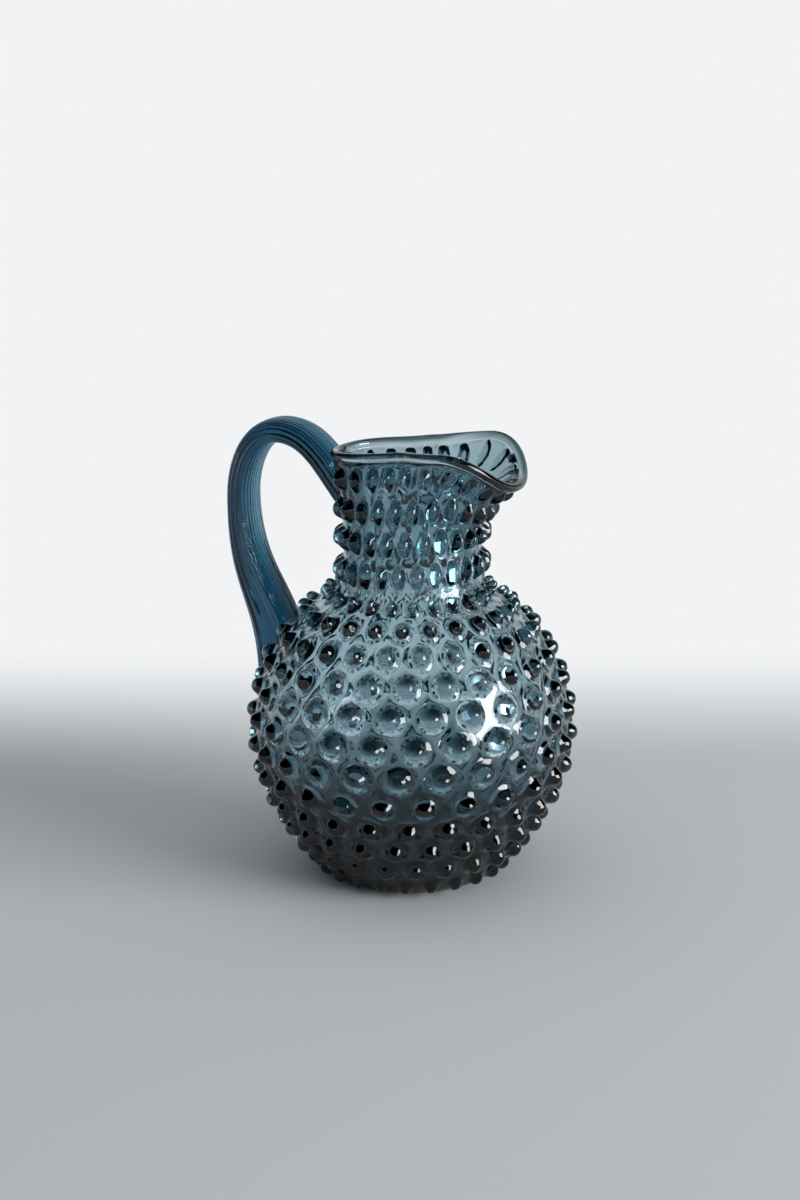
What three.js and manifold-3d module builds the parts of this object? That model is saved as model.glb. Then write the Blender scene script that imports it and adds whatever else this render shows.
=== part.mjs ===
// Hobnail glass pitcher: a blown vessel with a pulled lip, and a reeded strap handle.
// Millimetres, +Z up from the base, +X towards the lip, the handle towards -X.
import * as THREE from "three";
import { mergeVertices } from "three/addons/utils/BufferGeometryUtils.js";
import Module from "manifold-3d";

// Bulb and neck, outside the glass and under the hobnails
const BASE_RADIUS = 40;
const BULB_RADIUS = 77.5;
const BULB_CENTRE = 77;
const HEEL_LATITUDE = THREE.MathUtils.degToRad(-30);
const HEEL_ANGLE = THREE.MathUtils.degToRad(35);
const SHOULDER_LATITUDE = THREE.MathUtils.degToRad(60);
const NECK_RADIUS = 34;
const NECK_RISE = 28;

// Glass thickness
const WALL = 3.2;
const FLOOR = 6;

// Top of the rolled rim: reach from the axis, rise above the neck and spread around the axis
const LIP_REACH = 56.5;
const LIP_RISE = 28;
const LIP_SPREAD = THREE.MathUtils.degToRad(83);
const LIP_DIP_SPREAD = THREE.MathUtils.degToRad(54);
const FLANK_REACH = 28.5;
const FLANK_RISE = 48;
const BACK_REACH = 41;
const BACK_RISE = 42;
const BACK_SPREAD = THREE.MathUtils.degToRad(80);
const RIM_BEAD = 2.6;

// How full the mouth's curves and the handle's swellings are, from 2 for a plain wave upwards
const FULLNESS = { lip: 7, dip: 2.6, back: 3.5, fall: 2, root: 2 };

// Hobnails: bulb rows are staggered, neck rows stand in columns, and the blowing twisted both
const NUBS_PER_ROW = 24;
const BULB_ROWS = 12;
const NECK_ROWS = 4;
const FOOT_BAND = 2.8;
const RIM_BAND = 7;
const BULB_NUB_HEIGHT = 7;
const NECK_NUB_HEIGHT = 4.2;
const BULB_NUB_TIP = 0.36;
const NECK_NUB_TIP = 0.52;
const NUB_SHOULDER = 0.8;
const PATTERN_START = THREE.MathUtils.degToRad(2.8);
const BULB_TWIST = THREE.MathUtils.degToRad(-1.64);
const NECK_TWIST = THREE.MathUtils.degToRad(2.7);
const PATTERN_LEAN = THREE.MathUtils.degToRad(1.8);

// Handle: a strap from the neck under the rim, over the top and down onto the bulb
const HANDLE_SPAN = 63.9;
const HANDLE_WIDTH = 24;
const HANDLE_THICKNESS = 12;
const HANDLE_CORNER = 4.5;
const HANDLE_OVER_RIM = 7;
const HANDLE_CREST = 35.9;
const GRIP_RISE = 14.3;
const NECK_ROOT_RISE = 11.3;
const NECK_ROOT_THICKNESS = 13.4;
const NECK_ROOT_FADE = 90;
const BULB_ROOT_LATITUDE = THREE.MathUtils.degToRad(4);
const BULB_ROOT_THICKNESS = 27;
const BULB_ROOT_FADE = 113;
const ROOT_DEPTH = 8;
const TAIL_ROUND = 14;
const REEDS = 24;
const REED_DEPTH = 0.6;

// Leads of the handle's curves, as shares of the way between its root, crest, grip and tail
const LEAD = {
  rootOut: 0.44,
  rootUp: 0.47,
  crestIn: 0.55,
  crestOut: 0.62,
  gripIn: 0.5,
  gripOut: 0.49,
  tail: 0.54,
};

// Clear gap between handle and vessel, and the room beside itself that the hot strap pressed flat
const SEAM = 0.3;
const PRESSED_ROOM = 3;

// Mesh steps
const RING_STEPS = 2 * NUBS_PER_ROW;
const INNER_RINGS = 18;
const HANDLE_STATIONS = 42;
const TAIL_ANGLES = [0, 30, 55, 75].map(THREE.MathUtils.degToRad);
const BEAD_ANGLES = [-50, 0, 45, 90, 135, 180, 230].map(THREE.MathUtils.degToRad);

const HALF_PITCH = Math.PI / NUBS_PER_ROW;

// A hump that is 1 at 0 and fades to 0 at 1
function hump(x, fullness) {
  return Math.abs(x) < 1 ? 1 - Math.sin((Math.PI / 2) * Math.abs(x)) ** fullness : 0;
}

// Meridian of the bulb and neck, as radius and height
function onBulb(latitude, radius = BULB_RADIUS) {
  return new THREE.Vector2(
    radius * Math.cos(latitude),
    BULB_CENTRE + radius * Math.sin(latitude),
  );
}

const heel = onBulb(HEEL_LATITUDE);
const shoulder = onBulb(SHOULDER_LATITUDE);
const neckTop = shoulder.y + NECK_RISE;
const heelReach = heel.distanceTo(new THREE.Vector2(BASE_RADIUS, 0)) / 3;

const meridian = new THREE.Path();
meridian.moveTo(BASE_RADIUS, 0);
meridian.bezierCurveTo(
  BASE_RADIUS + heelReach * Math.cos(HEEL_ANGLE),
  heelReach * Math.sin(HEEL_ANGLE),
  heel.x + heelReach * Math.sin(HEEL_LATITUDE),
  heel.y - heelReach * Math.cos(HEEL_LATITUDE),
  heel.x,
  heel.y,
);
meridian.absarc(0, BULB_CENTRE, BULB_RADIUS, HEEL_LATITUDE, SHOULDER_LATITUDE, false);
const shoulderRun = meridian.getLength();
meridian.bezierCurveTo(
  shoulder.x - (NECK_RISE / 5) * Math.sin(SHOULDER_LATITUDE),
  shoulder.y + (NECK_RISE / 5) * Math.cos(SHOULDER_LATITUDE),
  NECK_RADIUS,
  neckTop - NECK_RISE / 2,
  NECK_RADIUS,
  neckTop,
);
meridian.updateArcLengths();
const neckRun = meridian.getLength();
const rimRun = neckRun + FLANK_RISE;

// Rim of the mouth at an angle from the lip, as radius and height
function rimAt(angle) {
  const turn = Math.abs(THREE.MathUtils.euclideanModulo(angle + Math.PI, 2 * Math.PI) - Math.PI);
  const behind = Math.PI - Math.max(turn, LIP_DIP_SPREAD);
  const lip = hump(turn / LIP_SPREAD, FULLNESS.lip);
  const back = hump((Math.PI - turn) / BACK_SPREAD, FULLNESS.back);
  const dip = hump(turn / LIP_DIP_SPREAD, FULLNESS.dip);
  const fall = hump(behind / (Math.PI - LIP_DIP_SPREAD), FULLNESS.fall);
  const reach = FLANK_REACH + (LIP_REACH - FLANK_REACH) * lip + (BACK_REACH - FLANK_REACH) * back;
  const rise = FLANK_RISE + (LIP_RISE - FLANK_RISE) * dip + (BACK_RISE - FLANK_RISE) * fall;
  return new THREE.Vector2(reach, neckTop + rise);
}

// Radius and height of the outside of the glass at an angle and a run up the meridian
function profileAt(angle, run) {
  if (run <= neckRun) return meridian.getPoint(Math.max(run, 0) / neckRun);
  const start = new THREE.Vector2(NECK_RADIUS, neckTop);
  const end = rimAt(angle);
  const reach = start.distanceTo(end) / 3;
  const flare = 2 * Math.atan2(end.x - start.x, end.y - start.y);
  return new THREE.CubicBezierCurve(
    start,
    new THREE.Vector2(start.x, start.y + reach),
    new THREE.Vector2(end.x - reach * Math.sin(flare), end.y - reach * Math.cos(flare)),
    end,
  ).getPoint((run - neckRun) / FLANK_RISE);
}

function wallAt(angle, run) {
  const { x, y } = profileAt(angle, run);
  return new THREE.Vector3(x * Math.cos(angle), x * Math.sin(angle), y);
}

// Point of the wall with its outward normal and its direction up the meridian
function wallFrame(angle, run) {
  const step = 0.05;
  const low = Math.max(run - step, 0);
  const high = Math.min(run + step, rimRun);
  const up = wallAt(angle, high).sub(wallAt(angle, low)).normalize();
  const across = wallAt(angle + 0.002, run).sub(wallAt(angle - 0.002, run));
  const normal = across.cross(up).normalize();
  return { point: wallAt(angle, run), normal, up };
}

// The pattern tips towards the lip, less and less at its two ends
function leaning(angle, run) {
  const share = Math.sqrt(Math.sin((Math.PI * run) / rimRun));
  return run + BULB_RADIUS * Math.tan(PATTERN_LEAN) * share * Math.cos(angle);
}

// Rows of hobnails from the foot up: run, half steps of stagger, twist and form
const bulbPitch = (shoulderRun - FOOT_BAND) / (BULB_ROWS - 0.5);
const neckPitch = (rimRun - RIM_BAND - shoulderRun) / (NECK_ROWS + 0.5);
const rows = [];
for (let i = 0; i < BULB_ROWS + NECK_ROWS; i++) {
  const onNeck = i >= BULB_ROWS;
  const last = Math.min(i, BULB_ROWS - 1);
  const above = i - last;
  rows.push({
    run: onNeck ? shoulderRun + neckPitch * above : FOOT_BAND + bulbPitch * (i + 0.5),
    stagger: last,
    twist: PATTERN_START + BULB_TWIST * last + NECK_TWIST * above,
    onNeck,
    height: onNeck ? NECK_NUB_HEIGHT : BULB_NUB_HEIGHT,
    tip: onNeck ? NECK_NUB_TIP : BULB_NUB_TIP,
  });
}

// Rings of cell corners below, between and above the rows, two corners to a hobnail
const rings = [];
for (let k = 0; k <= rows.length; k++) {
  const below = rows[k - 1] ?? rows[0];
  const above = rows[k] ?? rows[rows.length - 1];
  const zigzag = below.stagger === above.stagger ? 0 : (above.run - below.run) / 6;
  const runs = { 0: FOOT_BAND, [rows.length]: rimRun - RIM_BAND };
  rings.push({
    run: runs[k] ?? (below.run + above.run) / 2,
    twist: (below.twist + above.twist) / 2,
    zigzag,
    raised: below.stagger % 2,
  });
}

function cornerAngle(ring, step) {
  return ring.twist + HALF_PITCH * step;
}

function cornerRun(ring, step) {
  const lift = step % 2 === ring.raised ? ring.zigzag : -ring.zigzag;
  return leaning(cornerAngle(ring, step), ring.run + lift);
}

// Centre line of the handle, as distance from the axis and height
const gripReach = NECK_RADIUS + HANDLE_SPAN - HANDLE_THICKNESS / 2;
const gripHeight = neckTop + GRIP_RISE;
const crest = new THREE.Vector2(
  NECK_RADIUS + HANDLE_CREST,
  neckTop + FLANK_RISE + HANDLE_OVER_RIM - HANDLE_THICKNESS / 2,
);
const neckRoot = new THREE.Vector2(NECK_RADIUS - ROOT_DEPTH, neckTop + NECK_ROOT_RISE);
const bulbRoot = onBulb(BULB_ROOT_LATITUDE, BULB_RADIUS - ROOT_DEPTH);
const crestRise = crest.y - neckRoot.y;
const gripDrop = crest.y - gripHeight;
const tailDrop = gripHeight - bulbRoot.y;

const handleLine = new THREE.Path();
handleLine.moveTo(neckRoot.x, neckRoot.y);
handleLine.bezierCurveTo(
  neckRoot.x + crestRise * LEAD.rootOut,
  neckRoot.y + crestRise * LEAD.rootUp,
  crest.x - crestRise * LEAD.crestIn,
  crest.y,
  crest.x,
  crest.y,
);
handleLine.bezierCurveTo(
  crest.x + (gripReach - crest.x) * LEAD.crestOut,
  crest.y,
  gripReach,
  gripHeight + gripDrop * LEAD.gripIn,
  gripReach,
  gripHeight,
);
handleLine.bezierCurveTo(
  gripReach,
  gripHeight - tailDrop * LEAD.gripOut,
  bulbRoot.x,
  bulbRoot.y + tailDrop * LEAD.tail,
  bulbRoot.x,
  bulbRoot.y,
);
const handleLength = handleLine.getLength();

// Thickness of the strap at a run along it, swelling to both of its roots
function strapThickness(run) {
  const neck = hump(run / NECK_ROOT_FADE, FULLNESS.root);
  const bulb = hump((handleLength - run) / BULB_ROOT_FADE, FULLNESS.root);
  const neckSwell = (NECK_ROOT_THICKNESS - HANDLE_THICKNESS) * neck;
  const bulbSwell = (BULB_ROOT_THICKNESS - HANDLE_THICKNESS) * bulb;
  return HANDLE_THICKNESS + neckSwell + bulbSwell;
}

// A point of the centre line, moved out to the glass where it is sunk in it
const bulbMiddle = new THREE.Vector2(0, BULB_CENTRE);
function onGlass(spot) {
  const away = spot.clone().sub(bulbMiddle);
  if (away.length() < BULB_RADIUS) return away.setLength(BULB_RADIUS).add(bulbMiddle);
  return new THREE.Vector2(Math.max(spot.x, NECK_RADIUS), spot.y);
}

// Sections of the strap along its centre line, ending in a rounded tail
function strapStation(run, share) {
  const spot = handleLine.getPointAt(run / handleLength);
  const thickness = strapThickness(run) * share;
  const ahead = handleLine.getTangentAt(run / handleLength);
  return { spot, ahead, thickness, width: HANDLE_WIDTH * share, seat: onGlass(spot) };
}

const tailRun = handleLength - TAIL_ROUND;
const stations = Array.from({ length: HANDLE_STATIONS }, (_, k) =>
  strapStation((tailRun * k) / HANDLE_STATIONS, 1),
);
TAIL_ANGLES.forEach((turn) => {
  stations.push(strapStation(tailRun + TAIL_ROUND * Math.sin(turn), Math.cos(turn)));
});

// Hobnails that the hot strap met are pressed flat
function isPressed(points) {
  return points.some((point) => {
    if (point.x > 0 || Math.abs(point.y) > HANDLE_WIDTH / 2 + PRESSED_ROOM) return false;
    const place = new THREE.Vector2(Math.hypot(point.x, point.y), point.z);
    return stations.some(({ seat, thickness }) => {
      return seat.distanceTo(place) < thickness / 2 + PRESSED_ROOM;
    });
  });
}

// Collects vertices and faces of one closed mesh
class MeshMaker {
  positions = [];
  faces = [];

  vertex(point) {
    this.positions.push(point.x, point.y, point.z);
    return this.positions.length / 3 - 1;
  }

  ring(count, pointAt) {
    return Array.from({ length: count }, (_, step) => this.vertex(pointAt(step)));
  }

  band(lower, upper) {
    lower.forEach((a, i) => {
      const next = (i + 1) % lower.length;
      this.faces.push(a, lower[next], upper[next], a, upper[next], upper[i]);
    });
  }

  fan(loop, centre) {
    const tip = this.vertex(centre);
    loop.forEach((a, i) => this.faces.push(a, loop[(i + 1) % loop.length], tip));
  }

  geometry() {
    const made = new THREE.BufferGeometry();
    made.setAttribute("position", new THREE.Float32BufferAttribute(this.positions, 3));
    made.setIndex(this.faces);
    made.computeVertexNormals();
    return made;
  }
}

// Share of its height that a hobnail keeps where pulling the mouth open stretched the glass
function nubStretch(row, point) {
  return row.onNeck ? Math.min(1, NECK_RADIUS / Math.hypot(point.x, point.y)) ** 2 : 1;
}

// One hobnail: six sloping sides from the cell's corners to a small blunt tip
function addNub(maker, row, cell, corners, spread) {
  const { point, normal } = cell;
  const centre = point.clone().addScaledVector(normal, spread);
  const height = row.height * nubStretch(row, point);
  if (isPressed([point, point.clone().addScaledVector(normal, height)])) {
    maker.fan(corners, centre);
    return;
  }
  const tipRing = corners.map((corner) => {
    const edge = new THREE.Vector3().fromArray(maker.positions, 3 * corner);
    const rim = centre.clone().lerp(edge, row.tip);
    return maker.vertex(rim.addScaledVector(normal, height * NUB_SHOULDER));
  });
  maker.band(corners, tipRing);
  maker.fan(tipRing, centre.addScaledVector(normal, height));
}

// Outside of the vessel moved out by a spread, up to the last ring of the rolled rim
function addOutside(maker, spread, beadAngles) {
  const foot = maker.ring(RING_STEPS, (step) => wallAt(cornerAngle(rings[0], step), 0));
  maker.fan([...foot].reverse(), new THREE.Vector3());
  const loops = rings.map((ring) =>
    maker.ring(RING_STEPS, (step) => {
      const { point, normal } = wallFrame(cornerAngle(ring, step), cornerRun(ring, step));
      return point.addScaledVector(normal, spread);
    }),
  );
  maker.band(foot, loops[0]);
  rows.forEach((row, i) => {
    for (let nub = 0; nub < NUBS_PER_ROW; nub++) {
      const step = 2 * nub + (row.stagger % 2);
      const at = [-1, 0, 1].map((d) => (step + d + RING_STEPS) % RING_STEPS);
      const corners = [...at.map((n) => loops[i][n]), ...at.reverse().map((n) => loops[i + 1][n])];
      const angle = row.twist + HALF_PITCH * step;
      addNub(maker, row, wallFrame(angle, leaning(angle, row.run)), corners, spread);
    }
  });
  const top = rings[rings.length - 1];
  const beads = beadAngles.map((turn) =>
    maker.ring(RING_STEPS, (step) => {
      const { point, normal, up } = wallFrame(cornerAngle(top, step), rimRun - RIM_BEAD);
      const out = (RIM_BEAD + spread) * Math.cos(turn) - WALL / 2;
      return point.addScaledVector(normal, out).addScaledVector(up, (RIM_BEAD + spread) * Math.sin(turn));
    }),
  );
  [loops[loops.length - 1], ...beads].reduce((lower, upper) => {
    maker.band(lower, upper);
    return upper;
  });
  return beads[beads.length - 1];
}

// The vessel: hobnailed outside, rolled rim, plain inside and a flat floor
function vesselGeometry() {
  const maker = new MeshMaker();
  const top = rings[rings.length - 1];
  const start = rimRun - 2.5 * RIM_BEAD;
  let edge = addOutside(maker, 0, BEAD_ANGLES);
  for (let k = 0; k < INNER_RINGS; k++) {
    const run = start * (1 - k / INNER_RINGS);
    const inner = maker.ring(RING_STEPS, (step) => {
      const { point, normal } = wallFrame(cornerAngle(top, step), run);
      point.addScaledVector(normal, -WALL);
      point.z = Math.max(point.z, FLOOR);
      return point;
    });
    maker.band(edge, inner);
    edge = inner;
  }
  maker.fan(edge, new THREE.Vector3(0, 0, FLOOR));
  return maker.geometry();
}

// The space that the handle keeps out of: the filled vessel and the seam
function vesselRoom() {
  const maker = new MeshMaker();
  const edge = addOutside(maker, SEAM, BEAD_ANGLES.filter((turn) => turn <= Math.PI / 2));
  maker.fan(edge, new THREE.Vector3(0, 0, neckTop + BACK_RISE));
  return maker.geometry();
}

// Strap section with reeds, as thickness and width
function strapSection(thickness, width) {
  const corner = Math.min(HANDLE_CORNER, thickness / 2, width / 2);
  const flatX = thickness / 2 - corner;
  const flatY = width / 2 - corner;
  const outline = new THREE.Path();
  outline.absarc(flatX, flatY, corner, 0, Math.PI / 2, false);
  outline.absarc(-flatX, flatY, corner, Math.PI / 2, Math.PI, false);
  outline.absarc(-flatX, -flatY, corner, Math.PI, 1.5 * Math.PI, false);
  outline.absarc(flatX, -flatY, corner, 1.5 * Math.PI, 2 * Math.PI, false);
  outline.closePath();
  const points = outline.getSpacedPoints(2 * REEDS).slice(0, 2 * REEDS);
  return points.map((point, i) => {
    if (i % 2 === 0) return point;
    const spine = THREE.MathUtils.clamp(point.y, -flatY, flatY);
    const inward = new THREE.Vector2(0, spine).sub(point).setLength(REED_DEPTH);
    return point.add(inward);
  });
}

// The strap swept along its centre line
function strapGeometry() {
  const maker = new MeshMaker();
  const loops = stations.map(({ spot, ahead, thickness, width }) => {
    const section = strapSection(thickness, width);
    return maker.ring(section.length, (i) => {
      const reach = spot.x - ahead.y * section[i].x;
      return new THREE.Vector3(-reach, section[i].y, spot.y + ahead.x * section[i].x);
    });
  });
  maker.fan([...loops[0]].reverse(), new THREE.Vector3(-neckRoot.x, 0, neckRoot.y));
  loops.reduce((lower, upper) => {
    maker.band(lower, upper);
    return upper;
  });
  maker.fan(loops[loops.length - 1], new THREE.Vector3(-bulbRoot.x, 0, bulbRoot.y));
  return maker.geometry();
}

// Solids for the cut that seats the handle
const wasm = await Module();
wasm.setup();

function toSolid(geometry) {
  const bare = geometry.clone();
  bare.deleteAttribute("normal");
  const merged = mergeVertices(bare, 1e-4);
  return new wasm.Manifold(
    new wasm.Mesh({
      numProp: 3,
      vertProperties: new Float32Array(merged.attributes.position.array),
      triVerts: new Uint32Array(merged.index.array),
    }),
  );
}

function toGeometry(solid) {
  const { numProp, vertProperties, triVerts } = solid.getMesh();
  const vertices = new THREE.InterleavedBuffer(vertProperties, numProp);
  const made = new THREE.BufferGeometry();
  made.setAttribute("position", new THREE.InterleavedBufferAttribute(vertices, 3, 0));
  made.setIndex(new THREE.BufferAttribute(triVerts, 1));
  return made;
}

function handleGeometry() {
  return toGeometry(toSolid(strapGeometry()).subtract(toSolid(vesselRoom())));
}

// Finishes
function glass(colour) {
  return new THREE.MeshStandardMaterial({
    color: colour,
    roughness: 0.08,
    metalness: 0,
    transparent: true,
    opacity: 0.55,
  });
}

function named(name, geometry, material) {
  const mesh = new THREE.Mesh(geometry, material);
  mesh.name = name;
  return mesh;
}

const pitcher = new THREE.Group();
pitcher.name = "hobnail_pitcher";
pitcher.add(named("vessel", vesselGeometry(), glass(0x5f7f8c)));
pitcher.add(named("handle", handleGeometry(), glass(0x2f6077)));

export default pitcher;
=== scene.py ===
"""Blue hobnail glass pitcher: a blown vessel with a pulled lip and a drawn, reeded handle."""

import logging
import math
from bisect import bisect_right
from collections.abc import Callable, Iterator, Sequence
from contextlib import contextmanager
from dataclasses import dataclass, field
from enum import Enum
from functools import cached_property

import bmesh
import bpy
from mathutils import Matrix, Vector
from mathutils.kdtree import KDTree


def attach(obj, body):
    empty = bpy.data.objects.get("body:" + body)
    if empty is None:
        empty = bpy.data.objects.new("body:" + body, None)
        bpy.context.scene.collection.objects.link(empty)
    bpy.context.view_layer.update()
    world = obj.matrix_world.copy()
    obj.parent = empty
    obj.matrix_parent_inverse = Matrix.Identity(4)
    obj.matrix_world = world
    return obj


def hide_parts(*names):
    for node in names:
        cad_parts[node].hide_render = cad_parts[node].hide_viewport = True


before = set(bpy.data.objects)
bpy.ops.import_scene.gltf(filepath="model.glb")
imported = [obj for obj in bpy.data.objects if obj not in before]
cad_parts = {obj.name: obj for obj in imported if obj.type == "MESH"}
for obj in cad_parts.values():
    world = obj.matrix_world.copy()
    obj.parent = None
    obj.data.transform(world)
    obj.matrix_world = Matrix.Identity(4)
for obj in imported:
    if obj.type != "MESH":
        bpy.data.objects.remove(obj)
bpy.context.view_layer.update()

MM = 0.001
FULL_TURN = 2 * math.pi
MERGE_GAP = 0.02 * MM
SLIVER = 0.001 * MM
RADIUS_HALVINGS = 26
SEAT_HALVINGS = 18
DRAWN_ROUNDS = 3
# Name of the stored share of painted shade on the rolled rim
RIM_SHADE_MARK = "rim"

# Sockets of a node that mixes two colours
MIX_FROM, MIX_TO, MIXED = 6, 7, 2

log = logging.getLogger("hobnail_pitcher")


class Zone(Enum):
    """Part of the vessel that a row of hobnails stands on."""

    BULB = "bulb"
    NECK = "neck"


# Plane curves


def hump(place: float, fullness: float) -> float:
    """Height of a smooth hump.

    Args:
        place: Where on the hump, 0 at its top and 1 or -1 at its foot.
        fullness: Power that broadens the top.

    Returns:
        1 at the top, fading to 0 at the foot and beyond.
    """
    if abs(place) >= 1:
        return 0.0
    return 1 - math.sin(math.pi / 2 * abs(place)) ** fullness


def cubic(corners: Sequence[Sequence[float]], share: float) -> tuple[float, float]:
    """Point on a cubic curve.

    Args:
        corners: Start, two handles and end, each as two coordinates.
        share: How far along the curve, 0 to 1.

    Returns:
        The two coordinates of the point.
    """
    rest = 1 - share
    weights = (rest**3, 3 * rest**2 * share, 3 * rest * share**2, share**3)
    return (
        sum(w * c[0] for w, c in zip(weights, corners)),
        sum(w * c[1] for w, c in zip(weights, corners)),
    )


@dataclass(frozen=True)
class PlaneLine:
    """A fine polyline in a plane that is read by its length."""

    points: tuple[tuple[float, float], ...]

    @cached_property
    def runs(self) -> list[float]:
        """Length of the line up to each of its points."""
        lengths = [0.0]
        for start, end in zip(self.points, self.points[1:]):
            lengths.append(lengths[-1] + math.dist(start, end))
        return lengths

    @property
    def length(self) -> float:
        """Whole length of the line."""
        return self.runs[-1]

    def at(self, run: float) -> tuple[float, float]:
        """Point at a length along the line, past an end in a straight line.

        Args:
            run: Length along the line.

        Returns:
            The two coordinates of the point.
        """
        last = len(self.points) - 2
        k = min(max(bisect_right(self.runs, run) - 1, 0), last)
        share = (run - self.runs[k]) / (self.runs[k + 1] - self.runs[k])
        (x0, y0), (x1, y1) = self.points[k], self.points[k + 1]
        return x0 + (x1 - x0) * share, y0 + (y1 - y0) * share

    def ahead(self, run: float, step: float = 1.5) -> tuple[float, float]:
        """Unit direction of the line at a length along it.

        Args:
            run: Length along the line.
            step: Length to each side over which the direction is taken.

        Returns:
            The two parts of the direction.
        """
        (x0, y0), (x1, y1) = self.at(run - step), self.at(run + step)
        size = math.hypot(x1 - x0, y1 - y0)
        return (x1 - x0) / size, (y1 - y0) / size


# Form of the vessel


@dataclass(frozen=True)
class GlassForm:
    """Outside and thickness of the blown glass under its hobnails.

    Lengths are in millimetres, angles in radians and leads in shares of the neck's rise.
    """

    base_radius: float = 40.0
    bulb_radius: float = 77.5
    bulb_centre: float = 77.0
    heel_latitude: float = math.radians(-30)
    heel_angle: float = math.radians(35)
    shoulder_latitude: float = math.radians(60)
    shoulder_lead: float = 0.2
    neck_radius: float = 34.0
    neck_rise: float = 28.0
    neck_lead: float = 0.5
    wall: float = 1.5
    heel_wall: float = 12.0
    heel_fade: float = 100.0
    neck_wall: float = 6.5
    neck_fade: float = 80.0
    floor: float = 6.0
    lip_reach: float = 56.5
    lip_rise: float = 28.0
    lip_spread: float = math.radians(83)
    lip_fullness: float = 7.0
    lip_dip_spread: float = math.radians(54)
    lip_dip_fullness: float = 2.6
    flank_reach: float = 28.5
    flank_rise: float = 48.0
    back_reach: float = 41.0
    back_rise: float = 42.0
    back_spread: float = math.radians(80)
    back_fullness: float = 3.5
    bead: float = 2.3
    bead_sink: float = 0.85

    def on_bulb(self, latitude: float, sunk: float = 0.0) -> tuple[float, float]:
        """Radius and height on the bulb.

        Args:
            latitude: Angle above the bulb's middle.
            sunk: Depth below its surface.

        Returns:
            Radius from the axis and height.
        """
        radius = self.bulb_radius - sunk
        return radius * math.cos(latitude), self.bulb_centre + radius * math.sin(latitude)

    @cached_property
    def shoulder(self) -> tuple[float, float]:
        """Radius and height where the bulb turns into the neck."""
        return self.on_bulb(self.shoulder_latitude)

    @cached_property
    def neck_top(self) -> float:
        """Height at which the neck is narrowest and the mouth begins."""
        return self.shoulder[1] + self.neck_rise

    @cached_property
    def bulb_line(self) -> tuple[tuple[float, float], ...]:
        """Points of the meridian from the foot to the shoulder."""
        heel = self.on_bulb(self.heel_latitude)
        reach = math.dist(heel, (self.base_radius, 0)) / 3
        corners = (
            (self.base_radius, 0),
            (
                self.base_radius + reach * math.cos(self.heel_angle),
                reach * math.sin(self.heel_angle),
            ),
            (
                heel[0] + reach * math.sin(self.heel_latitude),
                heel[1] - reach * math.cos(self.heel_latitude),
            ),
            heel,
        )
        steps, arc = 60, 200
        rise = self.shoulder_latitude - self.heel_latitude
        return tuple(
            [cubic(corners, i / steps) for i in range(steps)]
            + [self.on_bulb(self.heel_latitude + rise * i / arc) for i in range(arc + 1)]
        )

    @cached_property
    def meridian(self) -> PlaneLine:
        """Line of the outside from the foot to the top of the neck."""
        lead = self.neck_rise * self.shoulder_lead
        corners = (
            self.shoulder,
            (
                self.shoulder[0] - lead * math.sin(self.shoulder_latitude),
                self.shoulder[1] + lead * math.cos(self.shoulder_latitude),
            ),
            (self.neck_radius, self.neck_top - self.neck_rise * self.neck_lead),
            (self.neck_radius, self.neck_top),
        )
        steps = 80
        return PlaneLine(
            self.bulb_line + tuple(cubic(corners, i / steps) for i in range(1, steps + 1))
        )

    @cached_property
    def shoulder_run(self) -> float:
        """Length of the meridian up to the shoulder."""
        return PlaneLine(self.bulb_line).length

    @cached_property
    def neck_run(self) -> float:
        """Length of the meridian up to the top of the neck."""
        return self.meridian.length

    @cached_property
    def rim_run(self) -> float:
        """Run of the top of the rolled rim, the same all round."""
        return self.neck_run + self.flank_rise

    def rim(self, angle: float) -> tuple[float, float]:
        """Line of the rim: out and down at the lip, drawn in at the flanks, raised behind.

        Args:
            angle: Angle from the lip about the vessel's axis.

        Returns:
            Radius from the axis and height.
        """
        turn = abs((angle + math.pi) % FULL_TURN - math.pi)
        lip = hump(turn / self.lip_spread, self.lip_fullness)
        back = hump((math.pi - turn) / self.back_spread, self.back_fullness)
        dip = hump(turn / self.lip_dip_spread, self.lip_dip_fullness)
        past = max(turn, self.lip_dip_spread)
        fall = hump((math.pi - past) / (math.pi - self.lip_dip_spread), 2)
        reach = self.flank_reach
        reach += (self.lip_reach - self.flank_reach) * lip
        reach += (self.back_reach - self.flank_reach) * back
        rise = self.flank_rise
        rise += (self.lip_rise - self.flank_rise) * dip
        rise += (self.back_rise - self.flank_rise) * fall
        return reach, self.neck_top + rise

    def profile(self, angle: float, run: float) -> tuple[float, float]:
        """Outside of the glass under its hobnails.

        Args:
            angle: Angle from the lip about the vessel's axis.
            run: Length up the glass from the foot.

        Returns:
            Radius from the axis and height.
        """
        if run <= self.neck_run:
            return self.meridian.at(max(run, 0.0))
        start, end = (self.neck_radius, self.neck_top), self.rim(angle)
        reach = math.dist(start, end) / 3
        flare = 2 * math.atan2(end[0] - start[0], end[1] - start[1])
        corners = (
            start,
            (start[0], start[1] + reach),
            (end[0] - reach * math.sin(flare), end[1] - reach * math.cos(flare)),
            end,
        )
        return cubic(corners, (run - self.neck_run) / self.flank_rise)

    def thickness(self, run: float) -> float:
        """Thickness of the glass: least on the bulb, where it was blown out.

        Args:
            run: Length up the glass from the foot.

        Returns:
            Thickness in millimetres.
        """
        heel = hump(run / self.heel_fade, 2)
        neck = hump((run - self.neck_run - self.flank_rise / 2) / self.neck_fade, 2)
        swell = (self.heel_wall - self.wall) * heel + (self.neck_wall - self.wall) * neck
        return self.wall + swell

    def point(self, angle: float, run: float) -> Vector:
        """Point of the outside at an angle and a run up the glass."""
        radius, height = self.profile(angle, run)
        return Vector((radius * math.cos(angle), radius * math.sin(angle), height))

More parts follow.
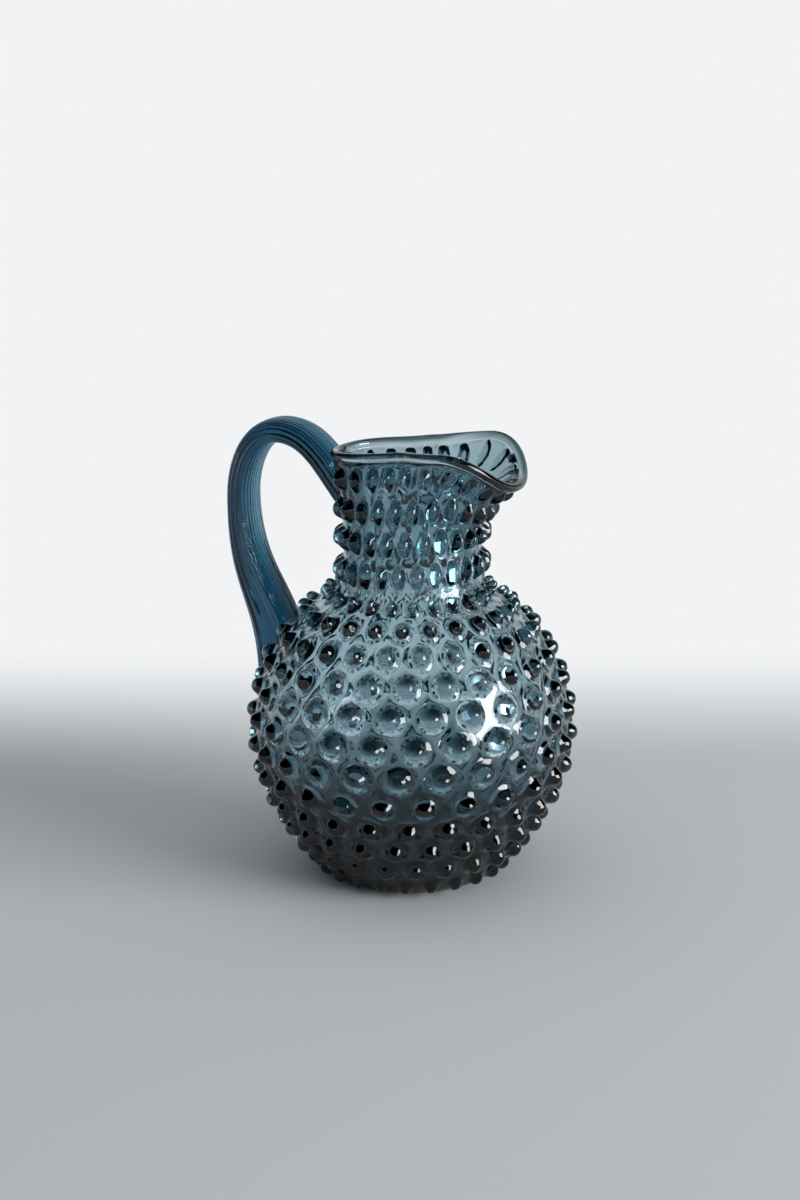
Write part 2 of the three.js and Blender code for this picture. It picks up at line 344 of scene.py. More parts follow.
    def lay(self, angle: float, run: float) -> tuple[Vector, Vector, Vector]:
        """How the glass lies at an angle and a run.

        Args:
            angle: Angle from the lip about the vessel's axis.
            run: Length up the glass from the foot.

        Returns:
            Unit directions outwards, round the axis and up the glass.
        """
        step, turn = 0.6, 0.004
        low, high = max(run - step, 0.0), min(run + step, self.rim_run)
        up = (self.point(angle, high) - self.point(angle, low)).normalized()
        around = self.point(angle + turn, run) - self.point(angle - turn, run)
        outward = around.cross(up).normalized()
        return outward, up.cross(outward).normalized(), up

    def bead_swell(self, angle: float, height: float) -> float:
        """How far the rolled rim stands out from the wall at an angle and a height."""
        below = (self.rim(angle)[1] - self.bead - height) / self.bead
        return max(self.bead * (math.sqrt(max(1 - below**2, 0.0)) - self.bead_sink), 0.0)

    def radius_at(self, angle: float, height: float) -> float:
        """Radius of the outside above the bulb's middle.

        Args:
            angle: Angle from the lip about the vessel's axis.
            height: Height above the foot.

        Returns:
            Radius from the axis.
        """
        low, high = self.shoulder_run / 2, self.rim_run
        for _ in range(RADIUS_HALVINGS):
            middle = (low + high) / 2
            if self.profile(angle, middle)[1] < height:
                low = middle
            else:
                high = middle
        return self.profile(angle, (low + high) / 2)[0]


# Hobnails


@dataclass(frozen=True)
class HobnailForm:
    """Form of a hobnail as shares of its foot's radius and of its height, from the foot up."""

    height: float
    width_share: float
    pitch_share: float
    steps: tuple[tuple[float, float], ...]


@dataclass(frozen=True)
class HobnailRow:
    """A row of hobnails: its run up the glass, half steps of stagger and twist."""

    run: float
    pitch: float
    stagger: int
    twist: float
    zone: Zone


@dataclass(frozen=True)
class Hobnail:
    """One hobnail: the middle of its foot, how the glass lies there, and its size."""

    centre: Vector
    outward: Vector
    across: Vector
    up: Vector
    half_width: float
    half_height: float
    height: float
    form: HobnailForm

    def spot(self, place: Vector, share: float, rise: float) -> Vector:
        """Point of the hobnail in the direction of a place.

        Args:
            place: Point beside the hobnail that gives the direction.
            share: Share of the foot's radius.
            rise: Share of the height.

        Returns:
            The point, in millimetres.
        """
        aside = place - self.centre
        turn = math.atan2(
            aside.dot(self.up) / self.half_height, aside.dot(self.across) / self.half_width
        )
        return (
            self.centre
            + self.across * (share * self.half_width * math.cos(turn))
            + self.up * (share * self.half_height * math.sin(turn))
            + self.outward * (rise * self.height)
        )


@dataclass(frozen=True)
class HobnailPattern:
    """Rows of hobnails: staggered on the bulb, in columns on the neck, twisted by the blowing."""

    glass: GlassForm
    per_row: int = 24
    bulb_rows: int = 12
    neck_rows: int = 4
    foot_band: float = 2.8
    rim_band: float = 5.2
    start: float = math.radians(2.8)
    bulb_twist: float = math.radians(-1.64)
    neck_twist: float = math.radians(2.7)
    lean: float = math.radians(1.8)
    crowding: float = 0.32
    cell_point: float = 1 / 6
    low_rows: tuple[float, ...] = (0.6, 0.8)
    dimple: float = 0.5
    tallest: float = 1.3
    forms: dict[Zone, HobnailForm] = field(
        default_factory=lambda: {
            Zone.BULB: HobnailForm(
                height=6.0,
                width_share=0.39,
                pitch_share=0.53,
                steps=(
                    (1.05, 0.0),
                    (1.0, 0.0),
                    (0.95, 0.05),
                    (0.8, 0.12),
                    (0.65, 0.28),
                    (0.55, 0.51),
                    (0.43, 0.75),
                    (0.25, 0.93),
                ),
            ),
            Zone.NECK: HobnailForm(
                height=5.2,
                width_share=0.45,
                pitch_share=0.42,
                steps=(
                    (1.05, 0.0),
                    (1.0, 0.0),
                    (0.94, 0.08),
                    (0.82, 0.28),
                    (0.69, 0.53),
                    (0.54, 0.75),
                    (0.36, 0.91),
                    (0.17, 0.98),
                ),
            ),
        }
    )

    @property
    def half_step(self) -> float:
        """Angle of half the distance between two hobnails of a row."""
        return math.pi / self.per_row

    @cached_property
    def rows(self) -> list[HobnailRow]:
        """Rows from the foot up to the rim."""
        glass = self.glass
        bulb_pitch = (glass.shoulder_run - self.foot_band) / (self.bulb_rows - 0.5)
        neck_span = glass.rim_run - self.rim_band - glass.shoulder_run
        neck_pitch = neck_span / (self.neck_rows + 0.5)
        made = []
        for i in range(self.bulb_rows):
            run = self.foot_band + bulb_pitch * (i + 0.5)
            twist = self.start + self.bulb_twist * i
            made.append(HobnailRow(run, bulb_pitch, i, twist, Zone.BULB))
        for above in range(1, self.neck_rows + 1):
            run = glass.shoulder_run + neck_pitch * above
            twist = made[self.bulb_rows - 1].twist + self.neck_twist * above
            made.append(HobnailRow(run, neck_pitch, self.bulb_rows - 1, twist, Zone.NECK))
        return made

    def leaning(self, angle: float, run: float) -> float:
        """Run up the glass once the pattern has tipped towards the lip."""
        share = math.sqrt(max(math.sin(math.pi * run / self.glass.rim_run), 0.0))
        return run + self.glass.bulb_radius * math.tan(self.lean) * share * math.cos(angle)

    def crowded(self, angle: float, run: float) -> float:
        """How far the glass was drawn round towards the lip, most at the rim.

        Args:
            angle: Angle from the lip before the glass was drawn.
            run: Length up the glass from the foot.

        Returns:
            Angle to take off.
        """
        span = self.glass.rim_run - self.glass.shoulder_run
        share = min(max((run - self.glass.shoulder_run) / span, 0.0), 1.0)
        return self.crowding * share**2 * math.sin(angle)

    def corner(self, ring: int, quarter: int) -> tuple[float, float]:
        """Angle and run of a corner between cells.

        Args:
            ring: Ring of corners, 0 below the first row.
            quarter: Quarter steps round the axis, four to a hobnail.

        Returns:
            Angle about the axis and run up the glass.
        """
        below = self.rows[max(ring - 1, 0)]
        above = self.rows[min(ring, len(self.rows) - 1)]
        run = (below.run + above.run) / 2
        if ring == 0:
            run = self.foot_band
        if ring == len(self.rows):
            run = self.glass.rim_run - self.rim_band
        angle = (below.twist + above.twist) / 2 + self.half_step * quarter / 2
        if below.stagger != above.stagger and quarter % 2 == 0:
            raised = (quarter // 2) % 2 == below.stagger % 2
            run += (above.run - below.run) * self.cell_point * (1 if raised else -1)
        return angle - self.crowded(angle, run), self.leaning(angle, run)

    def middle(self, row: HobnailRow, quarter: int) -> tuple[float, float]:
        """Angle and run on the middle line of a row, by quarter steps round the axis."""
        angle = row.twist + self.half_step * quarter / 2
        return angle - self.crowded(angle, row.run), self.leaning(angle, row.run)

    def hobnails(self, pressed: Callable[[Vector, Vector], bool]) -> list[Hobnail]:
        """Every hobnail of the vessel.

        Args:
            pressed: Tells from foot and tip whether the handle pressed a hobnail flat.

        Returns:
            The hobnails, row by row.
        """
        made = []
        for level, row in enumerate(self.rows):
            form = self.forms[row.zone]
            full = form.height * (self.low_rows[level] if level < len(self.low_rows) else 1.0)
            for nub in range(self.per_row):
                quarter = 4 * nub + 2 * (row.stagger % 2)
                angle, run = self.middle(row, quarter)
                centre = self.glass.point(angle, run)
                outward, across, up = self.glass.lay(angle, run)
                turn = self.middle(row, quarter + 2)[0] - self.middle(row, quarter - 2)[0]
                around = turn * math.hypot(centre.x, centre.y)
                half_width = form.width_share * around
                one_mm = self.glass.point(angle, run + 0.5) - self.glass.point(angle, run - 0.5)
                half_height = form.pitch_share * row.pitch * one_mm.length
                if row.zone is Zone.BULB:
                    half_height = min(half_height, self.tallest * half_width)
                flat = pressed(centre, centre + outward * full)
                height = 0.0 if flat else full
                if row.zone is Zone.NECK:
                    pulled = min(1.0, self.glass.neck_radius / math.hypot(centre.x, centre.y))
                    half_width *= pulled
                    height *= pulled**2
                made.append(
                    Hobnail(centre, outward, across, up, half_width, half_height, height, form)
                )
        return made

    def dimple_at(self, angle: float, run: float) -> float:
        """Depth of the soft dimple inside the glass behind the nearest hobnail.

        Args:
            angle: Angle from the lip about the vessel's axis.
            run: Length up the glass from the foot.

        Returns:
            Depth in millimetres.
        """
        level = 2 * run - self.leaning(angle, run)
        before = angle
        for _ in range(DRAWN_ROUNDS):
            before = angle + self.crowded(before, run)
        step = 2 * self.half_step
        nearest = 1.0
        for row in self.rows:
            form = self.forms[row.zone]
            rise = (level - row.run) / (form.pitch_share * row.pitch)
            if abs(rise) >= nearest:
                continue
            first = row.twist + self.half_step * (row.stagger % 2)
            aside = (before - first + self.half_step) % step - self.half_step
            nearest = min(nearest, math.hypot(rise, aside / (form.width_share * step)))
        return self.dimple * (1 - nearest**2) ** 2


# Mesh work


def deselect() -> None:
    """Leaves no object selected."""
    bpy.ops.object.select_all(action="DESELECT")


@contextmanager
def editing(piece: bpy.types.Object, parts: str = "EDGE") -> Iterator[bmesh.types.BMesh]:
    """Edit mode on one piece, with nothing selected in it.

    Args:
        piece: The object to edit.
        parts: What is selected: VERT, EDGE or FACE.

    Yields:
        The mesh being edited.
    """
    deselect()
    piece.select_set(True)
    bpy.context.view_layer.objects.active = piece
    bpy.ops.object.mode_set(mode="EDIT")
    bpy.ops.mesh.select_mode(type=parts)
    bpy.ops.mesh.select_all(action="DESELECT")
    yield bmesh.from_edit_mesh(piece.data)
    bpy.ops.object.mode_set(mode="OBJECT")


def tube(name: str, columns: int, rings: int) -> bpy.types.Object:
    """Adds an open tube of unit size, cut into level rings.

    Args:
        name: Name of the piece.
        columns: Faces round the tube.
        rings: Rings of corners up the tube, its two ends among them.

    Returns:
        The new object, from -0.5 to 0.5 high.
    """
    deselect()
    bpy.ops.mesh.primitive_cylinder_add(
        vertices=columns, radius=1, depth=1, end_fill_type="NOTHING"
    )
    piece = bpy.context.object
    piece.name = piece.data.name = name
    with editing(piece) as mesh:
        for edge in mesh.edges:
            low, high = edge.verts
            edge.select = abs(low.co.z - high.co.z) > 0.5
        bmesh.update_edit_mesh(piece.data)
        bpy.ops.mesh.subdivide(number_cuts=rings - 2)
    return piece


def tube_place(point: Vector, columns: int, rings: int) -> tuple[int, int]:
    """Column and ring of a corner of a unit tube."""
    column = round(math.atan2(point.y, point.x) / FULL_TURN * columns) % columns
    return column, round((point.z + 0.5) * (rings - 1))


def wrap(
    piece: bpy.types.Object, columns: int, rings: int, place: Callable[[int, int], Vector]
) -> None:
    """Moves every corner of a unit tube to its place on the object.

    Args:
        piece: The tube.
        columns: Faces round the tube.
        rings: Rings of corners up the tube.
        place: Gives a corner's place in millimetres from its column and ring.
    """
    for vertex in piece.data.vertices:
        vertex.co = place(*tube_place(vertex.co, columns, rings)) * MM
    piece.data.update()


def weld(name: str, parts: Sequence[bpy.types.Object]) -> bpy.types.Object:
    """Joins sheets into one closed, smooth piece.

    Args:
        name: Name of the piece.
        parts: Sheets whose edges meet, the first of which becomes the piece.

    Returns:
        The joined object.
    """
    deselect()
    for part in parts:
        part.select_set(True)
    bpy.context.view_layer.objects.active = parts[0]
    if len(parts) > 1:
        bpy.ops.object.join()
    piece = bpy.context.object
    piece.name = piece.data.name = name
    with editing(piece, "VERT"):
        bpy.ops.mesh.select_all(action="SELECT")
        bpy.ops.mesh.remove_doubles(threshold=MERGE_GAP)
        bpy.ops.mesh.dissolve_degenerate(threshold=SLIVER)
        bpy.ops.mesh.normals_make_consistent(inside=False)
    bpy.ops.object.shade_smooth()
    return piece


# Materials


def linear(code: str) -> tuple[float, float, float, float]:
    """Linear colour of an sRGB hex code.

    Args:
        code: The code, such as #808080.

    Returns:
        Red, green, blue and an alpha of 1.
    """
    parts = [int(code[i : i + 2], 16) / 255 for i in (1, 3, 5)]
    made = [p / 12.92 if p <= 0.04045 else ((p + 0.055) / 1.055) ** 2.4 for p in parts]
    return made[0], made[1], made[2], 1.0


def per_metre(size: float) -> float:
    """Texture scale of a pattern whose features are so many millimetres across."""
    return 1 / (size * MM)


def add_node(
    tree: bpy.types.NodeTree,
    kind: str,
    sockets: dict[str | int, object] | None = None,
    settings: dict[str, object] | None = None,
) -> bpy.types.Node:
    """Adds a node with its settings and links.

    Args:
        tree: Node tree that takes the node.
        kind: Type of the node.
        sockets: Value of each input, or the output that is linked to it.
        settings: Properties of the node itself.

    Returns:
        The new node.
    """
    node = tree.nodes.new(kind)
    for name, value in (settings or {}).items():
        setattr(node, name, value)
    for name, value in (sockets or {}).items():
        if isinstance(value, bpy.types.NodeSocket):
            tree.links.new(value, node.inputs[name])
        else:
            node.inputs[name].default_value = value
    return node


@dataclass(frozen=True)
class BlownGlass:
    """Soda-lime glass, coloured in the melt and fire-polished.

    The eye sees a clear skin with slight waves, a colour that deepens with thickness, and a
    dark line along the rim: painted shade, a darker tint of the skin there, which stands for
    light running on inside the wall.
    """

    name: str
    skin_pale: str = "#EEF4F5"
    skin_deep: str = "#DCE9EC"
    # Painted shade: darker skin tint on the rolled rim, for the dark line light draws there
    rim_painted_shade: str = "#33474F"
    melt: str = "#52A1B3"
    density: float = 148.0
    ior: float = 1.51
    smooth: float = 0.005
    rough: float = 0.035
    haze_low: float = 0.35
    haze_high: float = 0.75
    wave_size: float = 9.0
    wave_depth: float = 0.03
    wave_detail: float = 1.5
    wave_strength: float = 0.6
    streak_size: float = 16.0
    streak_detail: float = 3.0

    def make(self) -> bpy.types.Material:
        """Builds the material and returns it."""
        material = bpy.data.materials.new(self.name)
        material.use_nodes = True
        tree = material.node_tree
        tree.nodes.clear()
        place = add_node(tree, "ShaderNodeTexCoord").outputs["Object"]
        streaks = add_node(
            tree,
            "ShaderNodeTexNoise",
            {
                "Vector": place,
                "Scale": per_metre(self.streak_size),
                "Detail": self.streak_detail,
            },
        )
        skin = add_node(
            tree,
            "ShaderNodeMix",
            {
                "Factor": streaks.outputs["Fac"],
                MIX_FROM: linear(self.skin_pale),
                MIX_TO: linear(self.skin_deep),
            },
            {"data_type": "RGBA"},
        )
        # Share of painted shade on the rolled rim, stored on the mesh; it darkens the skin colour
        # there
        rim = add_node(tree, "ShaderNodeAttribute", settings={"attribute_name": RIM_SHADE_MARK})
        skin_and_rim_shade = add_node(
            tree,
            "ShaderNodeMix",
            {
                "Factor": rim.outputs["Fac"],
                MIX_FROM: skin.outputs[MIXED],
                MIX_TO: linear(self.rim_painted_shade),
            },
            {"data_type": "RGBA"},
        )
        haze = add_node(
            tree,
            "ShaderNodeMapRange",
            {
                "Value": streaks.outputs["Fac"],
                "From Min": self.haze_low,
                "From Max": self.haze_high,
                "To Min": self.smooth,
                "To Max": self.rough,
            },
        )
        waves = add_node(
            tree,
            "ShaderNodeTexNoise",
            {"Vector": place, "Scale": per_metre(self.wave_size), "Detail": self.wave_detail},
        )
        bump = add_node(
            tree,
            "ShaderNodeBump",
            {
                "Height": waves.outputs["Fac"],
                "Strength": self.wave_strength,
                "Distance": self.wave_depth * MM,
            },
        )
        shader = add_node(
            tree,
            "ShaderNodeBsdfPrincipled",
            {
                "Base Color": skin_and_rim_shade.outputs[MIXED],
                "Roughness": haze.outputs["Result"],
                "Normal": bump.outputs["Normal"],
                "IOR": self.ior,
                "Transmission Weight": 1.0,
            },
        )
        melt = add_node(
            tree,
            "ShaderNodeVolumeAbsorption",
            {"Color": linear(self.melt), "Density": self.density},
        )
        add_node(
            tree,
            "ShaderNodeOutputMaterial",
            {"Surface": shader.outputs["BSDF"], "Volume": melt.outputs["Volume"]},
        )
        return material


def dress(piece: bpy.types.Object, material: bpy.types.Material, node: str) -> None:
    """Gives a piece its material and its place in the frame.

    Args:
        piece: The finished piece.
        material: Its material.
        node: Solid that the piece stands for.
    """
    piece.data.materials.clear()
    piece.data.materials.append(material)
    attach(piece, "root")
    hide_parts(node)


# Handle


@dataclass(frozen=True)
class Handle:
    """Strap drawn from hot glass, from the neck over the top and down onto the bulb.

    Lengths are in millimetres, and leads in shares of the way to the next point of its curve.
    """

    glass: GlassForm
    span: float = 63.9
    width: float = 24.0
    thickness: float = 12.0
    squareness: float = 3.0
    over_rim: float = 7.0
    crest_reach: float = 35.9
    grip_rise: float = 14.3
    neck_root_rise: float = 11.3
    neck_root_thickness: float = 13.4
    neck_root_fade: float = 90.0
    bulb_root_latitude: float = math.radians(4)
    bulb_root_thickness: float = 27.0
    bulb_root_fade: float = 113.0
    root_depth: float = 8.0
    root_share: float = 0.3
    tail_round: float = 14.0
    root_lead: tuple[float, float] = (0.44, 0.47)
    crest_lead: tuple[float, float] = (0.55, 0.62)
    grip_lead: tuple[float, float] = (0.5, 0.49)
    tail_lead: float = 0.54
    reeds: int = 24
    reed_depth: float = 0.45
    tail_reed_share: float = 0.4
    seam: float = 0.15
    pressed_room: float = 3.0
    reed_faces: int = 8
    stations: int = 84
    cap_rings: int = 4

    @cached_property
    def line(self) -> PlaneLine:
        """Centre line, as distance from the vessel's axis and height."""
        glass = self.glass
        grip = (
            glass.neck_radius + self.span - self.thickness / 2,
            glass.neck_top + self.grip_rise,
        )
        crest = (
            glass.neck_radius + self.crest_reach,
            glass.neck_top + glass.flank_rise + self.over_rim - self.thickness / 2,
        )
        neck_root = (glass.neck_radius - self.root_depth, glass.neck_top + self.neck_root_rise)
        bulb_root = glass.on_bulb(self.bulb_root_latitude, self.root_depth)
        rise = crest[1] - neck_root[1]
        drop = crest[1] - grip[1]
        tail = grip[1] - bulb_root[1]
        curves = (
            (
                neck_root,
                (
                    neck_root[0] + rise * self.root_lead[0],
                    neck_root[1] + rise * self.root_lead[1],
                ),
                (crest[0] - rise * self.crest_lead[0], crest[1]),
                crest,
            ),
            (
                crest,
                (crest[0] + (grip[0] - crest[0]) * self.crest_lead[1], crest[1]),
                (grip[0], grip[1] + drop * self.grip_lead[0]),
                grip,
            ),
            (
                grip,
                (grip[0], grip[1] - tail * self.grip_lead[1]),
                (bulb_root[0], bulb_root[1] + tail * self.tail_lead),
                bulb_root,
            ),
        )
        steps = 120
        points = [cubic(curve, i / steps) for curve in curves for i in range(steps)]
        return PlaneLine((*points, bulb_root))

    @cached_property
    def section(self) -> list[tuple[float, float, float, float]]:
        """Points evenly round the strap's section, and how far the reeding cuts in at each.

        Returns:
            Place along the thickness and the width, then the cut along each of them.
        """
        power = 2 / self.squareness
        fine, step = 2000, 0.2
        outline = []
        for i in range(fine + 1):
            turn = FULL_TURN * i / fine
            c, s = math.cos(turn), math.sin(turn)
            outline.append(
                (
                    self.thickness / 2 * math.copysign(abs(c) ** power, c),
                    self.width / 2 * math.copysign(abs(s) ** power, s),
                )
            )
        line = PlaneLine(tuple(outline))
        count = self.reeds * self.reed_faces
        made = []
        for i in range(count):
            run = line.length * i / count
            (a, b), (da, db) = line.at(run), line.ahead(run, step)
            groove = self.reed_depth * (1 - abs(math.sin(math.pi * i / self.reed_faces)))
            made.append((a, b, -db * groove, da * groove))
        return made

    def tail_share(self, run: float) -> float:
        """Share of the section that is left at a run along the strap, less in its rounded tail."""
        past = (run - self.line.length + self.tail_round) / self.tail_round
        return math.sqrt(max(1 - max(past, 0.0) ** 2, 0.0))

    def thickness_at(self, run: float) -> float:
        """Thickness of the strap, which swells to both of its roots.

        Args:
            run: Length along the strap from its root on the neck.

        Returns:
            Thickness in millimetres.
        """
        neck = hump(run / self.neck_root_fade, 2)
        bulb = hump((self.line.length - run) / self.bulb_root_fade, 2)
        full = (
            self.thickness
            + (self.neck_root_thickness - self.thickness) * neck
            + (self.bulb_root_thickness - self.thickness) * bulb
        )
        return full * self.tail_share(run)

    @cached_property
    def spine(self) -> list[tuple[float, tuple[float, float]]]:
        """Runs and points of the centre line, moved out to the glass where they are sunk in it."""
        glass, made = self.glass, []
        for i in range(self.stations + 1):
            run = self.line.length * i / self.stations
            reach, height = self.line.at(run)
            depth = math.dist((reach, height), (0, glass.bulb_centre)) / glass.bulb_radius
            if depth < 1:
                reach /= depth
                height = glass.bulb_centre + (height - glass.bulb_centre) / depth
            made.append((run, (max(reach, glass.neck_radius), height)))
        return made

    def pressed(self, foot: Vector, tip: Vector) -> bool:
        """Tells whether the hot strap met a hobnail.

        Args:
            foot: Middle of the hobnail's foot.
            tip: Tip of the hobnail.

        Returns:
            True where the strap pressed it flat.
        """
        for place in (foot, tip):
            if place.x > 0 or abs(place.y) > self.width / 2 + self.pressed_room:
                continue
            spot = (math.hypot(place.x, place.y), place.z)
            for run, point in self.spine:
                if math.dist(spot, point) < self.thickness_at(run) / 2 + self.pressed_room:
                    return True
        return False

    def strap_point(self, column: int, run: float) -> Vector:
        """Point of the strap.

        Args:
            column: Place round its section.
            run: Length along the strap from its root on the neck.

        Returns:
            The point, in millimetres.
        """
        (reach, height), (out, up) = self.line.at(run), self.line.ahead(run)
        thick, wide, thick_cut, wide_cut = self.section[column]
        left = self.tail_share(run)
        soft = (1 - self.tail_reed_share) * hump((self.line.length - run) / self.bulb_root_fade, 2)
        thick = thick * self.thickness_at(run) / self.thickness + thick_cut * (1 - soft) * left
        wide = (wide + wide_cut * (1 - soft)) * left
        return Vector((up * thick - reach, wide, height + out * thick))

    def clearance(self, point: Vector) -> float:
        """How far a point lies out from the vessel's wall and the seam.

        Args:
            point: The point, in millimetres.

        Returns:
            Distance in millimetres, below 0 inside the wall.
        """
        angle = math.atan2(point.y, point.x)
        reach = self.glass.radius_at(angle, point.z) + self.glass.bead_swell(angle, point.z)
        return math.hypot(point.x, point.y) - reach - self.seam

    def leaving_run(self, column: int, inside: float, outside: float) -> float:
        """Run at which a line along the strap leaves the vessel's wall.

        Args:
            column: Place of the line round the section.
            inside: Run at which it is in the wall.
            outside: Run at which it is clear of the wall.

        Returns:
            Length along the strap from its root on the neck.
        """
        for _ in range(SEAT_HALVINGS):
            middle = (inside + outside) / 2
            if self.clearance(self.strap_point(column, middle)) > 0:
                outside = middle
            else:
                inside = middle
        return outside

    def seated(self, point: Vector) -> Vector:
        """Point moved in or out onto the vessel's wall, just clear of it.

        Args:
            point: The point, in millimetres.

        Returns:
            The moved point, at the same height.
        """
        size = math.hypot(point.x, point.y)
        share = (size - self.clearance(point)) / size
        return Vector((point.x * share, point.y * share, point.z))

    def build(self) -> bpy.types.Object:
        """Builds the strap with both ends seated on the vessel and returns it."""
        columns = self.reeds * self.reed_faces
        length = self.line.length
        spans = [
            (
                self.leaving_run(i, 0.0, length * self.root_share),
                self.leaving_run(i, length, length * (1 - self.root_share)),
            )
            for i in range(columns)
        ]
        ends = []
        for side in (0, 1):
            loop = [self.strap_point(i, spans[i][side]) for i in range(columns)]
            ends.append((loop, sum(loop, Vector()) / columns))
        rings = self.stations + 2 * self.cap_rings

        def place(column: int, ring: int) -> Vector:
            """Place of a corner on the strap or on one of its seated ends.

            Args:
                column: Place round the strap.
                ring: Ring of corners along it.

            Returns:
                The place, in millimetres.
            """
            low = ring - self.cap_rings
            high = ring - self.cap_rings - self.stations + 1
            if low < 0 or high > 0:
                loop, heart = ends[0 if low < 0 else 1]
                share = 1 - max(-low, high) / self.cap_rings
                return self.seated(heart.lerp(loop[column], share))
            start, end = spans[column]
            return self.strap_point(column, start + (end - start) * low / (self.stations - 1))

        strap = tube("drawn_handle", columns, rings)
        wrap(strap, columns, rings, place)
        return weld("drawn_handle", [strap])


# Vessel


@dataclass(frozen=True)
class Vessel:
    """Blown body: a hobnailed wall, a rolled rim, a dimpled lining and a thick foot.

    The painted shade on the rim and the start of the lining are measured in radii of the rim's
    bead.
    """

    glass: GlassForm
    pattern: HobnailPattern
    handle: Handle
    bead_steps: int = 15
    # Where the painted shade on the rim begins and how fast it comes in
    rim_shade_low: float = -0.35
    rim_shade_fade: float = 0.7
    bead_start: float = math.radians(-60)
    bead_end: float = math.radians(240)
    cell_inset: float = 0.1
    lining_start: float = 2.5
    lining_rings: int = 80
    floor_rings: int = 5
    floor_blend: float = 2.2
    floor_reach: float = 20.0
    foot_profile: tuple[tuple[float, float], ...] = (
        (1.0, 0.35),
        (0.985, 0.05),
        (0.955, 0.0),
        (0.92, 0.25),
        (0.84, 0.8),
        (0.6, 1.3),
        (0.3, 1.6),
        (0.0, 1.7),
    )

    @property
    def columns(self) -> int:
        """Faces round the vessel, four to a hobnail."""
        return 4 * self.pattern.per_row

    def corner_point(self, ring: int, quarter: int) -> Vector:
        """Point of the wall at a corner between cells."""
        return self.glass.point(*self.pattern.corner(ring, quarter))

    def cut_cells(self, wall: bpy.types.Object, rings: int) -> None:
        """Dissolves the edges inside each cell, so that one face is left for each hobnail.

        Args:
            wall: Unit tube that becomes the wall.
            rings: Rings of corners up the tube.
        """
        with editing(wall) as mesh:
            for edge in mesh.edges:
                places = [tube_place(v.co, self.columns, rings) for v in edge.verts]
                (column, low), (_, high) = places
                if low == high:
                    edge.select = low % 2 == 1
                    continue
                row = self.pattern.rows[min(low, high) // 2]
                edge.select = (column - 2 * (row.stagger % 2) - 2) % 4 != 0
            bmesh.update_edit_mesh(wall.data)
            bpy.ops.mesh.dissolve_edges(use_verts=False)

    def raise_hobnails(self, wall: bpy.types.Object, hobnails: Sequence[Hobnail]) -> None:
        """Insets every cell step by step and lifts it to its hobnail's form.

        Args:
            wall: The wall, with one face for each hobnail.
            hobnails: Every hobnail of the vessel.
        """
        finder = KDTree(len(hobnails))
        for i, hobnail in enumerate(hobnails):
            finder.insert(hobnail.centre, i)
        finder.balance()
        steps = len(hobnails[0].form.steps)
        with editing(wall, "FACE"):
            bpy.ops.mesh.select_all(action="SELECT")
            for k in range(steps):
                bpy.ops.mesh.inset(
                    thickness=self.cell_inset * MM, depth=0, use_individual=True
                )
                mesh = bmesh.from_edit_mesh(wall.data)
                for face in [f for f in mesh.faces if f.select]:
                    middle = face.calc_center_median() / MM
                    hobnail = hobnails[finder.find(middle)[1]]
                    share, rise = hobnail.form.steps[k]
                    for vertex in face.verts:
                        vertex.co = hobnail.spot(vertex.co / MM, share, rise) * MM
                bmesh.update_edit_mesh(wall.data)
            bpy.ops.mesh.poke()
            mesh = bmesh.from_edit_mesh(wall.data)
            for face in [f for f in mesh.faces if f.select]:
                for vertex in face.verts:
                    if all(other.select for other in vertex.link_faces):
                        middle = vertex.co / MM
                        hobnail = hobnails[finder.find(middle)[1]]
                        vertex.co = hobnail.spot(middle, 0.0, 1.0) * MM
            bmesh.update_edit_mesh(wall.data)

    def hobnailed_wall(self) -> bpy.types.Object:
        """Builds the outside of the glass from the foot to the rim and returns it."""
        rings = 2 * len(self.pattern.rows) + 1
        wall = tube("hobnailed_wall", self.columns, rings)
        self.cut_cells(wall, rings)

        def place(column: int, ring: int) -> Vector:
            """Place of a corner between cells, or beside one.

            Args:
                column: Place round the vessel.
                ring: Ring of corners up the wall.

            Returns:
                The place, in millimetres.
            """
            if ring % 2 == 0:
                return self.corner_point(ring // 2, column)
            return self.glass.point(*self.pattern.middle(self.pattern.rows[ring // 2], column))

        wrap(wall, self.columns, rings, place)
        self.raise_hobnails(wall, self.pattern.hobnails(self.handle.pressed))
        return wall

    def lining(self) -> bpy.types.Object:
        """Builds the rolled rim, the inside and its floor and returns them."""
        glass, pattern = self.glass, self.pattern
        top = len(pattern.rows)
        start = glass.rim_run - self.lining_start * glass.bead

        def inside(angle: float, run: float) -> Vector:
            """Point of the inside of the glass, rounded into the floor.

            Args:
                angle: Angle from the lip about the vessel's axis.
                run: Length up the glass from the foot.

            Returns:
                The point, in millimetres.
            """
            outward = glass.lay(angle, run)[0]
            depth = glass.thickness(run) - pattern.dimple_at(angle, run)
            point = glass.point(angle, run) - outward * depth
            over = (point.z - glass.floor) / self.floor_blend
            if over < self.floor_reach:
                point.z = glass.floor + self.floor_blend * math.log1p(math.exp(over))
            return point

